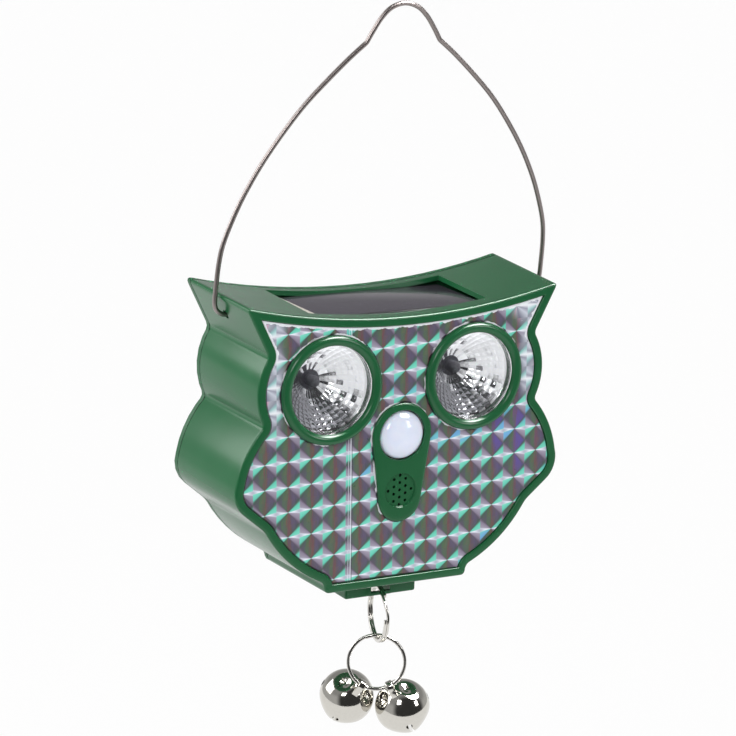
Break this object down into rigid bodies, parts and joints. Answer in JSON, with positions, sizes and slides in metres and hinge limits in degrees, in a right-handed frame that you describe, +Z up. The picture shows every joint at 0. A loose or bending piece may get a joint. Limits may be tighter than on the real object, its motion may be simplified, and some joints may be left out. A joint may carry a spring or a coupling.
{
  "type": "solar animal repeller",
  "caption": "Owl-head garden housing with reflector eyes, motion sensor, solar panel on top, wire bail and jingle bells on split rings, hung to scare animals.",
  "frame": {"origin": "top of the inside of the bail's hump, where a hook or a branch carries it", "axes": "+Z up, +Y out of the back of the housing, +X to the right as seen from the front"},
  "size_m": [0.1574, 0.0579, 0.312],
  "materials": {
    "green_plastic": "satin moulded green",
    "cover_plastic": "satin moulded green",
    "silver_film": "embossed rainbow foil",
    "grey_rubber": "soft",
    "clear_plastic": "clear",
    "chrome_plating": "vacuum-plated mirror",
    "milky_plastic": "translucent",
    "nickel_plating": "bright nickel",
    "circuit_board": "solder mask",
    "black_plastic": "satin",
    "solar_cell": "glossy resin over dark cells",
    "battery_sleeve": "printed film over a steel can, plain",
    "red_insulation": "smooth",
    "steel_wire": "bright drawn"
  },
  "bodies": {
    "bail": {"wire_bail": "steel_wire"},
    "housing": {"front_housing": "green_plastic", "back_cover": "cover_plastic", "housing_gasket": "grey_rubber", "reflective_film": "silver_film", "eye_bezel_left": "green_plastic", "eye_bezel_right": "green_plastic", "eye_lens_left": "clear_plastic", "eye_lens_right": "clear_plastic", "eye_reflector_left": "chrome_plating", "eye_reflector_right": "chrome_plating", "eye_led_left": "milky_plastic", "eye_led_right": "milky_plastic", "nose_plate": "green_plastic", "pir_dome": "milky_plastic", "pir_sensor": "nickel_plating", "sensor_board": "circuit_board", "speaker": "black_plastic", "solar_panel": "solar_cell", "panel_pad": "grey_rubber", "circuit_board": "circuit_board", "battery_1": "battery_sleeve", "battery_2": "battery_sleeve", "battery_3": "battery_sleeve", "battery_contacts_left": "nickel_plating", "battery_contacts_right": "nickel_plating", "cover_screw_1": "nickel_plating", "cover_screw_2": "nickel_plating", "cover_screw_3": "nickel_plating", "cover_screw_4": "nickel_plating", "solar_lead": "red_insulation", "speaker_lead": "red_insulation", "bell_bracket": "green_plastic"},
    "battery_door": {"battery_door": "cover_plastic", "door_screw": "nickel_plating"},
    "mode_knob": {"mode_knob": "black_plastic"},
    "power_button": {"power_button": "black_plastic"},
    "upper_ring": {"upper_ring": "nickel_plating"},
    "lower_ring": {"lower_ring": "nickel_plating"},
    "bell_left": {"bell_left": "nickel_plating"},
    "bell_right": {"bell_right": "nickel_plating"},
    "bell_ball_left": {"bell_ball_left": "steel_wire"},
    "bell_ball_right": {"bell_ball_right": "steel_wire"}
  },
  "joints": [
    {"name": "bail_swing", "type": "hinge", "parent": "bail", "child": "housing", "pos_m": [0, 0.015, -0.12399], "axis": [1, 0, 0], "range_deg": [-115, 60]},
    {"name": "battery_door_hinge", "type": "hinge", "parent": "housing", "child": "battery_door", "pos_m": [0, 0.04161, -0.21954], "axis": [-1, 0, 0], "range_deg": [0, 80]},
    {"name": "mode_knob_turn", "type": "hinge", "parent": "housing", "child": "mode_knob", "pos_m": [-0.023, 0.04131, -0.14974], "axis": [0, 1, 0], "range_deg": [-135, 135]},
    {"name": "power_button_press", "type": "slide", "parent": "housing", "child": "power_button", "axis": [0, -1, 0], "range_m": [0, 0.0015], "stiffness_N_per_m": 300},
    {"name": "upper_ring_swing", "type": "hinge", "parent": "housing", "child": "upper_ring", "pos_m": [0, 0.00241, -0.24535], "axis": [1, 0, 0], "range_deg": [-30, 30]},
    {"name": "lower_ring_swing", "type": "hinge", "parent": "upper_ring", "child": "lower_ring", "pos_m": [0, 0.00241, -0.26689], "axis": [0.1994, 0.9799, 0], "range_deg": [-40, 40]},
    {"name": "bell_left_swing", "type": "hinge", "parent": "lower_ring", "child": "bell_left", "pos_m": [-0.00523, 0.0053, -0.28739], "axis": [-0.7574, 0.4199, 0.5], "range_deg": [-4, 70]},
    {"name": "bell_right_swing", "type": "hinge", "parent": "lower_ring", "child": "bell_right", "pos_m": [0.00523, -0.00049, -0.28739], "axis": [-0.7574, 0.4199, -0.5], "range_deg": [-2, 70]},
    {"name": "bell_ball_left_rattle", "type": "slide", "parent": "bell_left", "child": "bell_ball_left", "axis": [0, 0, 1], "range_m": [0, 0.014]},
    {"name": "bell_ball_right_rattle", "type": "slide", "parent": "bell_right", "child": "bell_ball_right", "axis": [0, 0, 1], "range_m": [0, 0.014]}
  ]
}
